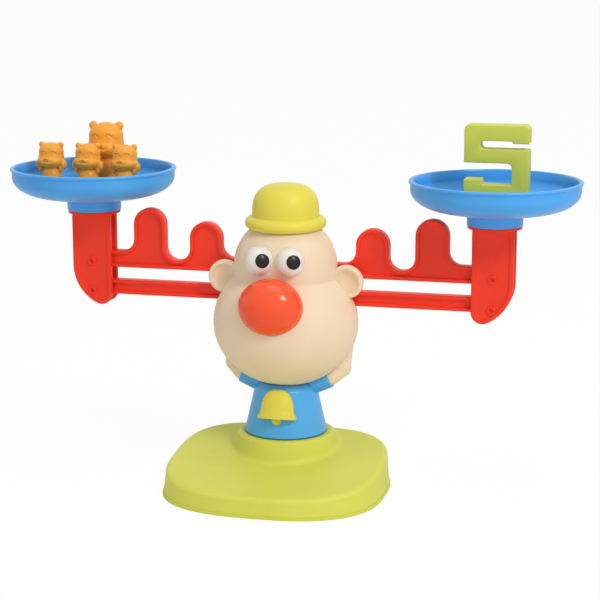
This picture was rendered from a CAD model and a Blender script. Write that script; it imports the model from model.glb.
import math

import bmesh
import bpy
import numpy as np
from mathutils import Matrix, Vector


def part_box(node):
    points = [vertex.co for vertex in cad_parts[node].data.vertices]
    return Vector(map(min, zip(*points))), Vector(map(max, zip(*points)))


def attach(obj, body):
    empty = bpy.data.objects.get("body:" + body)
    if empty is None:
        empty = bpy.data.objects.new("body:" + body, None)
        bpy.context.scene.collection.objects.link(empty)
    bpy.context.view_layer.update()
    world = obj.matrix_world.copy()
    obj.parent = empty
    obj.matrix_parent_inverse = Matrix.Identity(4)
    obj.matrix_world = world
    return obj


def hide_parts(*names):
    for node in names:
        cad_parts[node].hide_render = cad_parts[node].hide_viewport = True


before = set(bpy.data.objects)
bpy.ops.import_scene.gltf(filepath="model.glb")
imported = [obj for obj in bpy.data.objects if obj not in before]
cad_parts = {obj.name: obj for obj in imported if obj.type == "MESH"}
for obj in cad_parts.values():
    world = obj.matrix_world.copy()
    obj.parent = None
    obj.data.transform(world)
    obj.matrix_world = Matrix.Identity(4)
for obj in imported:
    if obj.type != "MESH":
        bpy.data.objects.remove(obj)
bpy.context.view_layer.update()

# Looks of a balance scale toy: an animal figure whose antlers are the upper arm of a parallel-arm balance.
# Sizes are in millimetres and meshes in metres. The figure's axis stands at x 0, y FIGURE_Y.

MM = 0.001
FIGURE_Y = -8.5
ARM = 128.5
UPPER_PIN, LOWER_PIN = 133.9, 114.8
SLOT_HALF = 4.6
SLOT_LOW, SLOT_HIGH = 103.6, 149.9
COLLAR_R, COLLAR_H = 32.4, 32.1
TORSO_Z, TORSO_TOP = 32.2, 61.2
TORSO_R, TORSO_TOP_R = 25.9, 19.1
SPIGOT_R, SPIGOT_Z = 18.9, 25.3
NECK_R, NECK_TOP = 11, 75.2
PAN_FLOOR = 179.2
SIDES = ((-1, "left"), (1, "right"))


# Shader arithmetic


class Field:
    """A shader socket that takes part in sums and products."""

    def __init__(self, shader, socket):
        self.shader = shader
        self.socket = socket

    def _math(self, operation, a, b):
        return self.shader.node("ShaderNodeMath", {"operation": operation}, {0: a, 1: b})[0]

    def __add__(self, other):
        return self._math("ADD", self, other)

    def __radd__(self, other):
        return self._math("ADD", other, self)

    def __sub__(self, other):
        return self._math("SUBTRACT", self, other)

    def __rsub__(self, other):
        return self._math("SUBTRACT", other, self)

    def __mul__(self, other):
        return self._math("MULTIPLY", self, other)

    def __rmul__(self, other):
        return self._math("MULTIPLY", other, self)


class Shader:
    """One material's node tree."""

    def __init__(self, tree):
        self.tree = tree
        tree.nodes.clear()

    def node(self, kind, settings=None, inputs=None):
        """Adds a node: its settings first, then the values or links of its sockets."""
        made = self.tree.nodes.new(kind)
        for key, value in (settings or {}).items():
            setattr(made, key, value)
        for key, value in (inputs or {}).items():
            if isinstance(value, Field):
                self.tree.links.new(value.socket, made.inputs[key])
            else:
                made.inputs[key].default_value = value
        return [Field(self, s) for s in made.outputs if s.enabled]

    def noise(self, place, scale, detail):
        return self.node("ShaderNodeTexNoise", {}, {
            "Vector": place, "Scale": scale, "Detail": detail, "Roughness": 0.55})[0]

    def mix(self, factor, a, b):
        return self.node("ShaderNodeMix", {"data_type": "RGBA"}, {0: factor, 6: a, 7: b})[0]


def linear(rgb):
    """An sRGB colour of 0 to 255 values as a linear RGBA one."""
    out = []
    for value in rgb:
        c = value / 255
        out.append(c / 12.92 if c <= 0.04045 else ((c + 0.055) / 1.055) ** 2.4)
    return (*out, 1.0)


def new_material(name):
    """A material, its empty node tree and the place on the object."""
    material = bpy.data.materials.new(name)
    material.use_nodes = True
    shader = Shader(material.node_tree)
    return material, shader, shader.node("ShaderNodeTexCoord")[3]


def plastic(name, rgb, shade_rgb, rough, soft=0.0, coat=0.0, gloss=0.3):
    """Moulded plastic: cloudy colour between two tones, uneven gloss, a fine spark-eroded grain."""
    material, shader, place = new_material(name)
    cloud = shader.noise(place, 38.0, 4.0)
    flow = shader.noise(place, 160.0, 2.0)
    grit = shader.noise(place, 2600.0, 2.0)
    fleck = shader.noise(place, 900.0, 1.0)
    colour = shader.mix(cloud * 1.6 - 0.45, linear(rgb), linear(shade_rgb))
    colour = shader.mix(fleck * 0.12, colour, linear([min(255, c + 14) for c in rgb]))
    height = grit * 0.6 + flow * 0.4
    bump = shader.node("ShaderNodeBump", {}, {
        "Strength": 0.21, "Distance": 0.00006, "Height": height})[0]
    glossy = shader.node("ShaderNodeBsdfPrincipled", {}, {
        "Base Color": colour,
        "Roughness": rough - 0.06 + flow * 0.12,
        "Specular IOR Level": gloss,
        "Coat Weight": coat,
        "Coat Roughness": 0.12,
        "Subsurface Weight": soft,
        "Subsurface Radius": (1.0, 0.45, 0.25),
        "Subsurface Scale": 0.006,
        "Normal": bump})[0]
    shader.node("ShaderNodeOutputMaterial", {}, {"Surface": glossy})
    return material


def turned_steel(name):
    """Zinc-plated steel of screws and pins, with fine turning marks."""
    material, shader, place = new_material(name)
    cloud = shader.noise(place, 500.0, 3.0)
    marks = shader.noise(place, 4200.0, 2.0)
    bump = shader.node("ShaderNodeBump", {}, {
        "Strength": 0.2, "Distance": 0.00003, "Height": marks})[0]
    metal = shader.node("ShaderNodeBsdfPrincipled", {}, {
        "Base Color": shader.mix(cloud, linear((176, 179, 183)), linear((202, 203, 205))),
        "Metallic": 1.0,
        "Roughness": 0.26 + cloud * 0.16,
        "Normal": bump})[0]
    shader.node("ShaderNodeOutputMaterial", {}, {"Surface": metal})
    return material


LIME = plastic("lime", (219, 221, 94), (211, 215, 82), 0.46)
COVER_LIME = plastic("lime_cover", (213, 217, 82), (205, 210, 72), 0.46)
BLUE = plastic("blue", (76, 176, 246), (66, 166, 240), 0.34, gloss=0.6)
PAN_BLUE = plastic("blue_pan", (66, 168, 244), (54, 158, 238), 0.34, soft=0.2, gloss=0.6)
CREAM = plastic("cream", (240, 220, 192), (237, 213, 180), 0.5, soft=0.3)
YELLOW = plastic("yellow", (230, 219, 84), (224, 211, 72), 0.42)
RED = plastic("red", (250, 60, 34), (243, 52, 28), 0.4)
NOSE_RED = plastic("nose", (252, 86, 40), (246, 74, 30), 0.24, coat=0.3)
WHITE = plastic("white", (236, 233, 228), (230, 227, 222), 0.3)
BLACK = plastic("black", (28, 26, 22), (22, 20, 18), 0.3)
ORANGE = plastic("orange", (255, 176, 66), (253, 165, 52), 0.36, soft=0.3)
OLIVE = plastic("olive", (210, 214, 88), (202, 208, 80), 0.44)
STEEL = turned_steel("pin_steel")


# Mesh helpers, in millimetres


def piece(name, mesh, material, body, nodes, sharp=38.0):
    """Puts a finished mesh into the scene as the piece that stands for some CAD nodes."""
    mesh.shade_smooth()
    mesh.set_sharp_from_angle(angle=math.radians(sharp))
    mesh.materials.clear()
    mesh.materials.append(material)
    made = bpy.data.objects.new(name, mesh)
    bpy.context.scene.collection.objects.link(made)
    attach(made, body)
    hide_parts(*nodes)
    return made


def mesh_of(name, points, faces):
    """A mesh from points in millimetres."""
    mesh = bpy.data.meshes.new(name)
    mesh.from_pydata([Vector(p) * MM for p in points], [], faces)
    mesh.validate()
    return mesh


def band(a, b, count):
    """Quads between two closed rings of points that start at a and b."""
    return [(a + k, a + (k + 1) % count, b + (k + 1) % count, b + k) for k in range(count)]


def settled(mesh):
    """The mesh with its faces turned outward and doubled points joined."""
    work = bmesh.new()
    work.from_mesh(mesh)
    bmesh.ops.remove_doubles(work, verts=work.verts, dist=1e-6)
    bmesh.ops.recalc_face_normals(work, faces=work.faces)
    work.to_mesh(mesh)
    work.free()
    return mesh


def fillet(corners, steps=5):
    """Rounds the corners of an open outline. A corner is (r, z) or (r, z, rounding)."""
    out = []
    for i, corner in enumerate(corners):
        here = Vector(corner[:2])
        radius = corner[2] if len(corner) > 2 else 0
        if not radius or i in (0, len(corners) - 1):
            out.append(tuple(here))
            continue
        before = Vector(corners[i - 1][:2]) - here
        after = Vector(corners[i + 1][:2]) - here
        turn = before.angle(after)
        cut = min(radius / math.tan(turn / 2), 0.49 * before.length, 0.49 * after.length)
        a = here + before.normalized() * cut
        b = here + after.normalized() * cut
        for k in range(steps + 1):
            t = k / steps
            out.append(tuple(a * (1 - t) ** 2 + here * 2 * t * (1 - t) + b * t ** 2))
    return out


def lathe(name, outline, steps=96, place=Matrix.Identity(4), stretch=(1, 1, 1)):
    """Turns an outline of (r, z) points about the Z axis, then stretches and places it."""
    points, rings, faces = [], [], []
    for r, z in outline:
        if r < 1e-6:
            rings.append([len(points)])
            points.append((0, 0, z))
        else:
            rings.append(list(range(len(points), len(points) + steps)))
            turns = [2 * math.pi * k / steps for k in range(steps)]
            points += [(r * math.cos(a), r * math.sin(a), z) for a in turns]
    for low, high in zip(rings, rings[1:]):
        for k in range(steps):
            j = (k + 1) % steps
            if len(low) == 1 and len(high) == 1:
                continue
            if len(low) == 1:
                faces.append((low[0], high[j], high[k]))
            elif len(high) == 1:
                faces.append((low[k], low[j], high[0]))
            else:
                faces.append((low[k], low[j], high[j], high[k]))
    placed = [place @ Vector([c * s for c, s in zip(p, stretch)]) for p in points]
    return settled(mesh_of(name, placed, faces))


def aim(direction, spot):
    """A placing that turns +Z to a direction and moves the origin to a spot."""
    turn = Vector((0, 0, 1)).rotation_difference(Vector(direction)).to_matrix().to_4x4()
    return Matrix.Translation(spot) @ turn


def built(holder):
    """The mesh that an object's modifiers give; the holder is removed."""
    bpy.context.view_layer.update()
    graph = bpy.context.evaluated_depsgraph_get()
    mesh = bpy.data.meshes.new_from_object(holder.evaluated_get(graph))
    bpy.data.objects.remove(holder)
    return mesh


def tight(mesh):
    """The mesh with doubled points joined."""
    work = bmesh.new()
    work.from_mesh(mesh)
    bmesh.ops.remove_doubles(work, verts=work.verts, dist=1e-6)
    work.to_mesh(mesh)
    work.free()
    return mesh


def holder_of(mesh):
    """A passing object that carries a mesh through modifiers."""
    made = bpy.data.objects.new("holder", mesh)
    bpy.context.scene.collection.objects.link(made)
    return made


def softened(node, width, segments=3, angle=35):
    """A copy of a CAD node's mesh with its sharp edges rounded."""
    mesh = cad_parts[node].data.copy()
    if "custom_normal" in mesh.attributes:
        mesh.attributes.remove(mesh.attributes["custom_normal"])
    work = bmesh.new()
    work.from_mesh(mesh)
    bmesh.ops.remove_doubles(work, verts=work.verts, dist=2e-6)
    bmesh.ops.dissolve_limit(work, angle_limit=math.radians(0.6), verts=work.verts, edges=work.edges)
    work.to_mesh(mesh)
    work.free()
    made = holder_of(mesh)
    edge = made.modifiers.new("edges", "BEVEL")
    edge.width = width * MM
    edge.segments = segments
    edge.limit_method = "ANGLE"
    edge.angle_limit = math.radians(angle)
    edge.use_clamp_overlap = True
    edge.harden_normals = False
    return built(made)


def balls_mesh(name, balls, voxel, passes):
    """One skin round a set of ellipsoids, each (centre, half sizes), blended where they meet."""
    work = bmesh.new()
    for centre, half in balls:
        place = Matrix.Translation(Vector(centre) * MM) @ Matrix.Diagonal((*[h * MM for h in half], 1))
        bmesh.ops.create_uvsphere(work, u_segments=40, v_segments=24, radius=1, matrix=place)
    mesh = bpy.data.meshes.new(name)
    work.to_mesh(mesh)
    work.free()
    made = holder_of(mesh)
    skin = made.modifiers.new("skin", "REMESH")
    skin.mode = "VOXEL"
    skin.voxel_size = voxel * MM
    blend = made.modifiers.new("blend", "SMOOTH")
    blend.factor = 0.5
    blend.iterations = passes
    return built(made)


# Base


BASE_Y, BASE_HALF_W, BASE_HALF_D = -33.5, 68.8, 59.5
FRONT_SQUARE, BACK_SQUARE = 2.6, 3.3
FRAME_HALF_W, FRAME_SQUARE = 71, 2.6
FRONT_Y, FRONT_H, SLOPE = -93, 11.7, math.radians(7.3)
WALL_Z, WALL_FOOT, WALL_TOP = 1.85, 0.8, 1.9
EDGE_R, COLLAR_FOOT_R, COLLAR_EDGE_R, COLLAR_DRAFT = 3.4, 4.2, 2.4, 1.7


def base_plan(inset, t):
    """A point of the base's outline: rounder in front than at the back."""
    c, s = math.cos(t), math.sin(t)
    power = 2 / (BACK_SQUARE if s > 0 else FRONT_SQUARE)
    return Vector((
        (BASE_HALF_W - inset) * math.copysign(abs(c) ** power, c),
        (BASE_HALF_D - inset) * math.copysign(abs(s) ** power, s) + BASE_Y))


def base_reach(x, y, half_w, square):
    """How far the outline lies from its middle along the direction (x, y)."""
    return ((abs(x) / half_w) ** square + (abs(y) / BASE_HALF_D) ** square) ** (-1 / square)


def cover_mesh():
    """The bottom cover, with its rim brought to the outline of the shell above it."""
    mesh = softened("base_cover", 0.45)
    for vertex in mesh.vertices:
        x, y = vertex.co.x / MM, vertex.co.y / MM - BASE_Y
        r = math.hypot(x, y)
        if r < 1:
            continue
        old = base_reach(x / r, y / r, FRAME_HALF_W, FRAME_SQUARE)
        new = base_reach(x / r, y / r, BASE_HALF_W, BACK_SQUARE if y > 0 else FRONT_SQUARE)
        share = min(1, max(0, (r / old - 0.82) / 0.13))
        grow = 1 + (new / old - 1) * share * share * (3 - 2 * share)
        vertex.co.x = x * grow * MM
        vertex.co.y = (y * grow + BASE_Y) * MM
    return mesh


def base_top(y):
    """Height of the sloping top."""
    return FRONT_H + math.tan(SLOPE) * (y - FRONT_Y)


def base_shell():
    """Wedge with a softly rounded top edge and a filleted round collar, ring by ring from foot to socket."""
    steps = 192
    rings = []

    def ring(at):
        rings.append([at(2 * math.pi * k / steps) for k in range(steps)])

    centre = Vector((0, FIGURE_Y))

    def room(t):
        """Space between collar and edge, the direction, and the roundings of edge and collar foot."""
        out = base_plan(WALL_TOP, t) - centre
        gap = out.length - COLLAR_R
        return gap, out.normalized(), min(EDGE_R, 0.5 * gap), min(COLLAR_FOOT_R, 0.4 * gap)

    ring(lambda t: (*base_plan(WALL_FOOT, t), WALL_Z))
    for k in range(7):
        a = k / 6 * math.pi / 2

        def edge(t, a=a):
            _, out, r, _ = room(t)
            p = base_plan(WALL_TOP, t) - out * r * (1 - math.cos(a))
            flat = base_plan(WALL_TOP, t) - out * r
            return (p.x, p.y, base_top(flat.y) - r * (1 - math.sin(a)))

        ring(edge)
    for k in range(1, 12):
        def slope(t, k=k):
            gap, out, r, f = room(t)
            reach = COLLAR_R + f + (gap - r - f) * (1 - k / 12)
            p = centre + out * reach
            return (p.x, p.y, base_top(p.y))

        ring(slope)
    for k in range(6):
        a = k / 5 * math.pi / 2

        def foot(t, a=a):
            _, out, _, f = room(t)
            p = centre + out * (COLLAR_R + f * (1 - math.sin(a)))
            low = centre + out * (COLLAR_R + f)
            return (p.x, p.y, base_top(low.y) + f * (1 - math.cos(a)))

        ring(foot)
    for k in range(7):
        a = k / 6 * math.pi / 2

        def rim(t, a=a):
            out = room(t)[1]
            p = centre + out * (COLLAR_R - COLLAR_DRAFT - COLLAR_EDGE_R * (1 - math.cos(a)))
            return (p.x, p.y, COLLAR_H - COLLAR_EDGE_R * (1 - math.sin(a)))

        ring(rim)
    for r, z in ((26.4, COLLAR_H), (25.6, COLLAR_H - 0.5), (19.1, COLLAR_H - 0.5), (19.1, 20.0)):
        ring(lambda t, r=r, z=z: (*(centre + room(t)[1] * r), z))
    points = [p for one in rings for p in one]
    faces = [face for i in range(len(rings) - 1) for face in band(i * steps, (i + 1) * steps, steps)]
    return settled(mesh_of("base_shell", points, faces))


piece("base_wedge", base_shell(), LIME, "figure", ["base_shell"])
piece("base_bottom", cover_mesh(), COVER_LIME, "figure", ["base_cover"])


# Torso, bell and arms

AXIS = Matrix.Translation((0, FIGURE_Y, 0))
torso_line = fillet([
    (0, SPIGOT_Z), (SPIGOT_R, SPIGOT_Z, 0.5), (SPIGOT_R, TORSO_Z), (TORSO_R, TORSO_Z, 0.7),
    (TORSO_TOP_R + 0.3, TORSO_TOP - 0.6, 2), (16.6, TORSO_TOP + 2.8, 1.6), (NECK_R, TORSO_TOP + 2.8, 0.4),
    (NECK_R, NECK_TOP, 0.6), (0, NECK_TOP)])
piece("coat", lathe("coat", torso_line, 128, AXIS), BLUE, "figure", ["torso"])

LEAN = math.atan((TORSO_R - TORSO_TOP_R) / (TORSO_TOP - TORSO_Z))


def on_chest(z):
    """A placing on the front of the coat, leaning with it."""
    y = FIGURE_Y - TORSO_R + (z - TORSO_Z) * math.tan(LEAN)
    return Matrix.Translation((0, y, z)) @ Matrix.Rotation(-LEAN, 4, "X")


BELL_R, BELL_Z, CLAPPER_R = 12.3, 44.5, 2.9
dome = [(0.86 * BELL_R * math.cos(a) ** 0.7, 4.4 + 13.9 * math.sin(a))
        for a in (k / 20 * math.pi / 2 for k in range(20))]
bell_line = fillet([
    (0, 1.0), (9.8, 1.0, 0.4), (10.6, 0, 0.5), (BELL_R, 0.1, 0.8), (12.2, 2.2, 0.8), (10.9, 3.4, 0.6)])
bell_line += dome[1:] + [(1.9, 18.1), (0, 18.3)]
piece("chest_bell", lathe("bell", bell_line, 72, on_chest(BELL_Z), (1, 0.6, 1)),
      YELLOW, "figure", ["bell"])
knob = [(CLAPPER_R * math.cos(a), CLAPPER_R * math.sin(a)) for a in np.linspace(-math.pi / 2, 0.3, 18)]
knob = [(0, -CLAPPER_R)] + knob[1:] + [(0, 1.1)]
piece("chest_clapper", lathe("clapper", knob, 40, on_chest(BELL_Z) @ Matrix.Translation((0, -0.5, -0.9))),
      YELLOW, "figure", ["bell_clapper"])

for side, word in SIDES:
    shoulder = Vector((side * 12.6, FIGURE_Y + 1, TORSO_TOP - 1))
    cuff = Vector((side * 28.3, FIGURE_Y + 1, TORSO_TOP + 5.6))
    along = cuff - shoulder
    tube = fillet([(0, 0), (6.4, 0, 1), (6.0, along.length, 0.9), (5.0, along.length, 0.3),
                   (4.7, along.length - 0.8), (0, along.length - 0.8)])
    piece(word + "_coat_sleeve", lathe("sleeve", tube, 56, aim(along, shoulder)),
          BLUE, "figure", [word + "_sleeve"])
    start = cuff + along.normalized() * 0.6
    elbow = Vector((side * 35, FIGURE_Y + 5, TORSO_TOP + 11.2))
    tip = Vector((side * 33, FIGURE_Y + 26, TORSO_TOP + 28))
    limb = []
    for k in range(9):
        limb.append((start.lerp(elbow, k / 8), (5.0 + 0.05 * k,) * 3))
    for k in range(13):
        limb.append((elbow.lerp(tip, k / 12), (5.6 - 0.03 * k,) * 3))
    limb.append((elbow + Vector((-side * 0.4, 0.5, 0.6)), (6.3, 6.2, 6.3)))
    limb.append((tip, (6.2, 5.6, 6.4)))
    limb.append((tip + Vector((-side * 5.2, -1.5, -1)), (2.8, 2.6, 2.8)))
    piece(word + "_mitten", balls_mesh("hand", limb, 0.5, 10),
          CREAM, "figure", [word + "_hand"])


# Head


MUZZLE_AT, MUZZLE_HALF = np.array((0, FIGURE_Y, 101.7)), np.array((45.5, 42.0, 40.0))
CRANIUM_AT, CRANIUM_HALF = np.array((0, FIGURE_Y, 136.6)), np.array((32.5, 30.0, 32.4))
CREASE = 0.8
SCREW_SPOTS = ((-18, 90), (18, 90), (0, 156.9))


def oval_distance(p, centre, half):
    """About how far points lie outside an ellipsoid."""
    q = (p - centre) / half
    k0 = np.linalg.norm(q, axis=1)
    k1 = np.linalg.norm(q / half, axis=1)
    return k0 * (k0 - 1) / np.maximum(k1, 1e-9)


def head_field(p):
    """Distance to the head's skin: muzzle and cranium joined by a soft crease."""
    muzzle = oval_distance(p, MUZZLE_AT, MUZZLE_HALF)
    cranium = oval_distance(p, CRANIUM_AT, CRANIUM_HALF)
    h = np.clip(0.5 + 0.5 * (cranium - muzzle) / CREASE, 0, 1)
    return cranium * (1 - h) + muzzle * h - CREASE * h * (1 - h)


def head_mesh(around=192, up=190):
    """The head's skin, found along rays from a point inside both the muzzle and the cranium."""
    heart = np.array((0, FIGURE_Y, 119.0))
    ways = [(0, 0, -1)]
    for i in range(1, up):
        b = math.pi * i / up - math.pi / 2
        turns = [2 * math.pi * k / around for k in range(around)]
        ways += [(math.cos(b) * math.cos(a), math.cos(b) * math.sin(a), math.sin(b)) for a in turns]
    ways.append((0, 0, 1))
    ways = np.array(ways)
    near, far = np.zeros(len(ways)), np.full(len(ways), 90.0)
    for _ in range(34):
        mid = (near + far) / 2
        out = head_field(heart + ways * mid[:, None]) > 0
        far = np.where(out, mid, far)
        near = np.where(out, near, mid)
    points = heart + ways * near[:, None]
    faces = [(0, 1 + (k + 1) % around, 1 + k) for k in range(around)]
    for i in range(up - 2):
        faces += band(1 + i * around, 1 + (i + 1) * around, around)
    last = len(points) - 1
    a = last - around
    faces += [(a + k, a + (k + 1) % around, last) for k in range(around)]
    return settled(mesh_of("head", [tuple(p) for p in points], faces))


def cut_box(low, high):
    """A box between two corners, used as a cutter."""
    work = bmesh.new()
    bmesh.ops.create_cube(work, size=1)
    size = [h - l for l, h in zip(low, high)]
    middle = [(h + l) / 2 for l, h in zip(low, high)]
    bmesh.ops.scale(work, vec=Vector(size) * MM, verts=work.verts)
    bmesh.ops.translate(work, vec=Vector(middle) * MM, verts=work.verts)
    mesh = bpy.data.meshes.new("cutter")
    work.to_mesh(mesh)
    work.free()
    return mesh


def carved(mesh, cutter):
    """A mesh with a cutter taken out of it."""
    made, tool = holder_of(mesh), holder_of(cutter)
    cut = made.modifiers.new("cut", "BOOLEAN")
    cut.operation = "DIFFERENCE"
    cut.solver = "EXACT"
    cut.object = tool
    out = built(made)
    bpy.data.objects.remove(tool)
    return out


def post_of(r, length, place):
    """A round post, used as a cutter."""
    return lathe("post", [(0, 0), (r, 0), (r, length), (0, length)], 32, place)


def head_half(whole, side):
    """The front (-1) or rear (1) moulding, with half of the slot for the arms."""
    face = side * 0.1
    low = (-90, min(-side * 90, face), 0)
    high = (90, max(-side * 90, face), 300)
    half = carved(whole.copy(), cut_box(low, high))
    slot = cut_box((-90, -SLOT_HALF, SLOT_LOW), (90, SLOT_HALF, SLOT_HIGH))
    half = carved(half, slot)
    return tight(half)


whole_head = head_mesh()
piece("face", head_half(whole_head, -1), CREAM, "figure", ["head_front"])
back = head_half(whole_head, 1)
for x, z in SCREW_SPOTS:
    back = carved(back, post_of(3.0, 60, aim((0, 1, 0), (x, 7, z))))
piece("back_of_head", back, CREAM, "figure", ["head_rear"])

for side, word in SIDES:
    lobe = fillet([
        (0, 0), (8.6, 0, 3.4), (10.6, 3.6, 2.4), (10.2, 7.0, 1.4), (8.4, 7.6, 1.2), (6.6, 5.4, 2.2),
        (3.0, 3.9, 2), (0, 3.6)], 6)
    turn = Matrix.Translation((side * 39, -4.8, 128.9)) @ Matrix.Rotation(math.radians(90), 4, "X")
    piece(word + "_ear_lobe", lathe("ear", lobe, 64, turn),
          CREAM, "figure", [word + "_ear"])

BRIM_AT, BRIM_R = (21.35, 164.45), 3.85
CROWN_Z, CROWN_R, CROWN_H = 168.5, 20.8, 20.1
brim, crown = [], []
for k in range(13):
    a = -math.pi / 2 + math.pi * k / 12
    brim.append((BRIM_AT[0] + BRIM_R * math.cos(a), BRIM_AT[1] + BRIM_R * math.sin(a)))
for k in range(25):
    t = math.sin(math.pi / 2 * k / 24)
    crown.append((CROWN_R * max(0.0, 1 - t ** 3) ** (1 / 3), CROWN_Z + CROWN_H * t))
hat_line = [(0, 163.5), (19.6, 163.5), (20.4, 161.2)] + brim + [(20.95, 168.35)] + crown
piece("yellow_hat", lathe("hat", hat_line, 112, AXIS), YELLOW, "figure", ["hat"])

NOSE_AT, NOSE_HALF = Vector((0, -45.8, 118.2)), (20, 17.6, 15)
ball = [(math.sin(a), -math.cos(a)) for a in np.linspace(0, math.pi, 49)]
ball[0], ball[-1] = (0, -1), (0, 1)
front = Matrix.Translation(NOSE_AT) @ Matrix.Rotation(math.radians(90), 4, "X")
piece("big_nose", lathe("nose", ball, 96, front, NOSE_HALF), NOSE_RED, "figure", ["nose"])

LOOK = Vector((0.494, -0.855, 0.156))
EYE_R, PUPIL_R = 8.9, 4.3
spread = math.asin(PUPIL_R / EYE_R)
for side, word in SIDES:
    at = Vector((side * 9.7, -35.8, 144.6))
    ring = fillet([(0, -4), (8.2, -4), (EYE_R, -1.0, 1.5)])
    ring += [(EYE_R * math.cos(a), EYE_R * math.sin(a)) for a in np.linspace(0.02, math.pi / 2 - 0.06, 22)]
    piece(word + "_eye_ball", lathe("eye", ring + [(0, EYE_R)], 72, aim((0, -1, 0.1), at)),
          WHITE, "figure", [word + "_eye"])
    disc = [(0, 9.22)]
    disc += [(9.22 * math.sin(a), 9.22 * math.cos(a)) for a in np.linspace(0.05, spread - 0.02, 12)]
    disc += [(r * math.sin(spread), r * math.cos(spread)) for r in (9.08, 8.8)]
    piece(word + "_eye_pupil", lathe("pupil", disc, 56, aim(LOOK, at)),
          BLACK, "figure", [word + "_pupil"])


# Balance arms, hangers and pans

TINE_R, NOTCH_R = 10.4, 8
BAR_Z, BAR_R = 117.2, 4.7
PLATE_HALF, PLATE_TOP = 12.8, 164.6


def arc(centre, r, a0, a1, steps=24):
    """Points (x, z) of a round stretch, with angles in degrees."""
    turns = [math.radians(a0 + (a1 - a0) * k / steps) for k in range(steps + 1)]
    return [(centre[0] + r * math.cos(a), centre[1] + r * math.sin(a)) for a in turns]


def antler_outline(i):
    """Outline of the antlers drawn in by i: an eye at each end and two tines a side."""
    half = [(0, 130 + i)]
    half += arc((ARM, 135.4), 5.4 - i, -90, 90)
    half += arc((109.1, 148.8), NOTCH_R + i, 270, 180)
    half += arc((90.7, 158.2), TINE_R - i, 0, 180)
    half += arc((72.15, 144.15), 8.15 + i, 0, -180)
    half += arc((53.6, 150.8), TINE_R - i, 0, 180)
    half += arc((35.2, 147.0), NOTCH_R + i, 0, -90)
    half.append((0, 139 - i))
    return half + [(-x, z) for x, z in half[-2:0:-1]]


def bar_outline(i):
    """Outline of the lower bar drawn in by i."""
    return arc((ARM, BAR_Z), BAR_R - i, -90, 90) + arc((-ARM, BAR_Z), BAR_R - i, 90, 270)


def quarter(steps=5):
    """Angles of a quarter turn."""
    return [math.pi / 2 * k / steps for k in range(steps + 1)]


def walled(name, rings):
    """A closed mesh over rings of points, with a face across the first and the last."""
    count = len(rings[0])
    points = [p for one in rings for p in one]
    faces = [face for i in range(len(rings) - 1) for face in band(i * count, (i + 1) * count, count)]
    faces.append(tuple(range(count)))
    faces.append(tuple(range(len(points) - count, len(points))))
    return settled(mesh_of(name, points, faces))


def rimmed(name, outline, half=3.6, web=1.2, rim=2.4, b=0.85, f=0.7):
    """A plate with a rounded rim on both faces and a thin web between."""
    side = [(rim + f - f * math.sin(a), -web - f + f * math.cos(a)) for a in quarter()]
    side += [(rim - b + b * math.cos(a), b - half - b * math.sin(a)) for a in quarter()]
    side += [(b - b * math.sin(a), b - half - b * math.cos(a)) for a in quarter()]
    side += [(i, -y) for i, y in reversed(side)]
    mesh = walled(name, [[(x, y, z) for x, z in outline(i)] for i, y in side])
    work = bmesh.new()
    work.from_mesh(mesh)
    bmesh.ops.triangulate(work, faces=[face for face in work.faces if len(face.verts) > 4])
    work.to_mesh(mesh)
    work.free()
    return mesh


piece("antlers", rimmed("antlers", antler_outline), RED, "antler_beam", ["antler_beam"])
piece("under_bar", rimmed("under_bar", bar_outline), RED, "lower_link", ["lower_link"])


def plate_outline(i):
    """Outline of a hanger plate about its pins, drawn in by i, with its outer side at +x."""
    lean = math.degrees(math.atan2(-18.086, 8.3))
    line = arc((-5.8, 112.914), 7 - i, 180, 360 + lean) + arc((-14.1, 131), 26.9 - i, lean, 0)
    return line + [(PLATE_HALF - i, PLATE_TOP - i), (i - PLATE_HALF, PLATE_TOP - i)]


def joined(*meshes):
    """Several meshes as one."""
    work = bmesh.new()
    for one in meshes:
        work.from_mesh(one)
    mesh = meshes[0].copy()
    work.to_mesh(mesh)
    work.free()
    return mesh


def hanger_plate(side, face):
    """A hanger plate, front (-1) or rear (1): flat inside, with a rim and two ringed pin holes outside."""
    inner, thick, recess, rim = 3.9, 3.0, 0.9, 2.6
    b, f = 0.6, 0.45
    floor_d = thick - recess
    side_line = [(0.4 - 0.4 * math.sin(a), 0.4 - 0.4 * math.cos(a)) for a in quarter()]
    side_line += [(b - b * math.cos(a), thick - b + b * math.sin(a)) for a in quarter()]
    side_line += [(rim - f + f * math.sin(a), thick - f + f * math.cos(a)) for a in quarter()]
    side_line += [(rim + f - f * math.cos(a), floor_d + f - f * math.sin(a)) for a in quarter()]
    mesh = walled("hanger_plate", [
        [(side * (ARM + x), face * (inner + d), z) for x, z in plate_outline(i)] for i, d in side_line])
    rings = []
    for z in (UPPER_PIN, LOWER_PIN):
        at = aim((0, face, 0), (side * ARM, face * inner, z))
        mesh = carved(mesh, post_of(1.45, 6, at @ Matrix.Translation((0, 0, 1.6))))
        ring = fillet([(1.43, 1.7), (1.43, 3.3, 0.2), (2.75, 3.3, 0.3), (3.05, 1.9)])
        rings.append(lathe("pin_ring", ring, 40, at))
    return joined(mesh, *rings)


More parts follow.
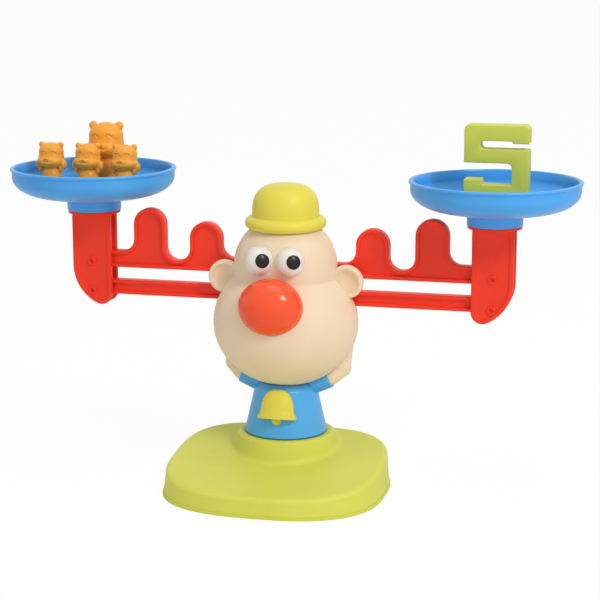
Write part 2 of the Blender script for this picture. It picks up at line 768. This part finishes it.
def pan_line():
    """Section of a pan: flat floor, bowl side, rolled lip, collar below."""
    inner = [(34 + 15.3 * math.sin(a), 8.8 - 8.8 * math.cos(a)) for a in np.linspace(0, math.pi / 2, 20)]
    outer = [(29 + 22.5 * math.sin(a), 8.8 - 12.6 * math.cos(a)) for a in np.linspace(math.pi / 2, 0, 20)]
    lip = [(51.5 + math.cos(a), 13.5 + math.sin(a)) for a in np.linspace(math.pi / 2, -math.pi / 2, 12)]
    collar = fillet([
        (20, -3.8), (17.2, -3.8, 1.0), (17, -12.7, 0.4), (14.8, -12.7, 0.3), (14.8, -4.8, 0.4), (0, -4.8)])
    return [(0, 0)] + inner + [(49.5, 13.4), (50.0, 14.4)] + lip + [(51.45, 12.3)] + outer + collar


for side, word in SIDES:
    body = word + "_hanger"
    piece(word + "_dish", lathe("pan", pan_line(), 160, Matrix.Translation((side * ARM, 0, PAN_FLOOR))),
          PAN_BLUE, body, [word + "_pan"])
    for half, face in (("front", -1), ("rear", 1)):
        piece(word + "_plate_" + half, hanger_plate(side, face), RED, body,
              [word + "_hanger_" + half])
    piece(word + "_dish_seat", softened(word + "_pan_seat", 0.4),
          RED, body, [word + "_pan_seat"])


# Counters

piece("figure_five", softened("number_five", 0.9, 4, 40),
      OLIVE, "number_five", ["number_five"])

# A little bear as ellipsoids, each (centre, half sizes): head, cheeks, jaw, nose, belly, tail, then pairs
BEAR = [
    ((0, 0.3, 22.0), (8.1, 7.2, 6.2)),
    ((0, 0.3, 19.0), (8.3, 7.6, 5.6)),
    ((0, -1.0, 16.3), (8.9, 8.2, 4.7)),
    ((0, -8.7, 18.6), (1.7, 1.0, 0.9)),
    ((0, 0, 6.8), (6.6, 6.3, 7.0)),
    ((0, 6.0, 4.6), (2.2, 2.0, 2.2)),
]
for s in (-1, 1):
    BEAR += [
        ((s * 6.3, 0.6, 26.5), (2.1, 1.6, 2.1)),
        ((s * 8.3, -0.4, 14.2), (2.2, 2.6, 3.1)),
        ((s * 6.9, -0.8, 11.8), (1.8, 2.2, 2.6)),
        ((s * 4.2, -2.4, 2.6), (3.2, 4.4, 2.6)),
    ]


def arc_points(cx, cz, rx, rz, a0, a1):
    """Points (x, z) along a pressed line."""
    return [(cx + rx * math.cos(a), cz + rz * math.sin(a)) for a in np.linspace(a0, a1, 15)]


def bear_mesh():
    """A sitting bear with closed eyes and a smile pressed into its face."""
    mesh = balls_mesh("bear", BEAR, 0.3, 7)
    lines = []
    for s in (-1, 1):
        lines += arc_points(s * 3.3, 21.7, 1.4, 1.1, 0.3, math.pi - 0.3)
        lines += arc_points(s * 1.5, 17.4, 1.5, 0.9, math.pi + 0.2, 2 * math.pi - 0.2)
    lines = np.array(lines)
    count = len(mesh.vertices)
    spots, normals = np.zeros(count * 3), np.zeros(count * 3)
    mesh.vertices.foreach_get("co", spots)
    mesh.vertex_normals.foreach_get("vector", normals)
    spots, normals = spots.reshape(-1, 3) / MM, normals.reshape(-1, 3)
    gap = np.sqrt(((spots[:, None, [0, 2]] - lines[None]) ** 2).sum(2).min(1))
    press = np.exp(-(gap / 0.42) ** 2) * (spots[:, 1] < -2)
    spots -= normals * press[:, None] * 0.7
    spots[:, 2] -= spots[:, 2].min()
    mesh.vertices.foreach_set("co", (spots * MM).ravel())
    return mesh


def bear_piece(name, template, node, y, grow):
    """Stands a bear where its CAD counter stands."""
    low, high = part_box(node)
    mesh = template.copy()
    feet = Vector(((low.x + high.x) / 2, y * MM, low.z))
    mesh.transform(Matrix.Translation(feet) @ Matrix.Scale(grow, 4))
    piece(name, mesh, ORANGE, node, [node], 80)


bear = bear_mesh()
bear_piece("big_bear", bear, "bear_large", 26.5, 1.4)
for k in (1, 2, 3):
    bear_piece("little_bear_%d" % k, bear, "bear_small_%d" % k, 4, 1)


# Steel pieces kept from the frame

for node in ("base_screws", "head_screws", "beam_pivot_pin", "link_pivot_pin",
             "left_hanger_pins", "right_hanger_pins"):
    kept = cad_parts[node]
    kept.data.materials.clear()
    kept.data.materials.append(STEEL)


# Studio


def floor_material():
    """White paper: bright to the camera, still darkened a little by the toy's shadow."""
    material, shader, place = new_material("paper_floor")
    fibre = shader.noise(place, 420.0, 3.0)
    seen = shader.node("ShaderNodeLightPath")[0]
    paper = shader.node("ShaderNodeBsdfPrincipled", {}, {
        "Base Color": shader.mix(fibre, (0.9, 0.9, 0.9, 1), (0.92, 0.92, 0.92, 1)),
        "Roughness": 0.9})[0]
    glow = shader.node("ShaderNodeEmission", {}, {"Color": (1, 1, 1, 1), "Strength": 1.0})[0]
    both = shader.node("ShaderNodeMixShader", {}, {0: seen * 0.95, 1: paper, 2: glow})[0]
    shader.node("ShaderNodeOutputMaterial", {}, {"Surface": both})
    return material


FLOOR_HALF = 20000
corners = [(x * FLOOR_HALF, y * FLOOR_HALF, 0) for x, y in ((-1, -1), (1, -1), (1, 1), (-1, 1))]
ground = mesh_of("floor", corners, [(0, 1, 2, 3)])
ground.materials.append(floor_material())
floor = bpy.data.objects.new("floor", ground)
bpy.context.scene.collection.objects.link(floor)


def softbox(name, spot, target, size, watts):
    """A round white studio light aimed at a target, in metres."""
    lamp = bpy.data.lights.new(name, "AREA")
    lamp.shape = "DISK"
    lamp.size = size
    lamp.energy = watts
    made = bpy.data.objects.new(name, lamp)
    made.location = spot
    made.rotation_euler = (Vector(target) - Vector(spot)).to_track_quat("-Z", "Y").to_euler()
    bpy.context.scene.collection.objects.link(made)


softbox("key_box", (0.95, -0.85, 1.15), (0, 0, 0.11), 0.36, 9.6)
softbox("top_box", (0.1, -0.2, 1.6), (0, 0, 0.1), 0.9, 3.6)

world = bpy.data.worlds.new("studio")
bpy.context.scene.world = world
world.use_nodes = True
sky = Shader(world.node_tree)
path = sky.node("ShaderNodeLightPath")
dim = sky.node("ShaderNodeBackground", {}, {"Color": (1, 0.965, 0.89, 1), "Strength": 0.57})[0]
plain = sky.node("ShaderNodeBackground", {}, {"Color": (1, 1, 1, 1), "Strength": 1.0})[0]
by_name = {f.socket.name: f for f in path}
direct = by_name["Is Camera Ray"] + by_name["Is Glossy Ray"] + by_name["Is Transmission Ray"]
sky.node("ShaderNodeOutputWorld", {}, {
    "Surface": sky.node("ShaderNodeMixShader", {}, {0: direct, 1: dim, 2: plain})[0]})

lens = bpy.data.cameras.new("photo_camera")
lens.sensor_width = 36
lens.lens = 107.36
lens.clip_end = 100
camera = bpy.data.objects.new("photo_camera", lens)
camera.location = (0.2749, -1.0649, 0.3442)
aim_at = Vector((0.00696, 0, 0.11387))
camera.rotation_euler = (aim_at - camera.location).to_track_quat("-Z", "Y").to_euler()
bpy.context.scene.collection.objects.link(camera)
bpy.context.scene.camera = camera
bpy.context.scene.view_settings.view_transform = "Standard"
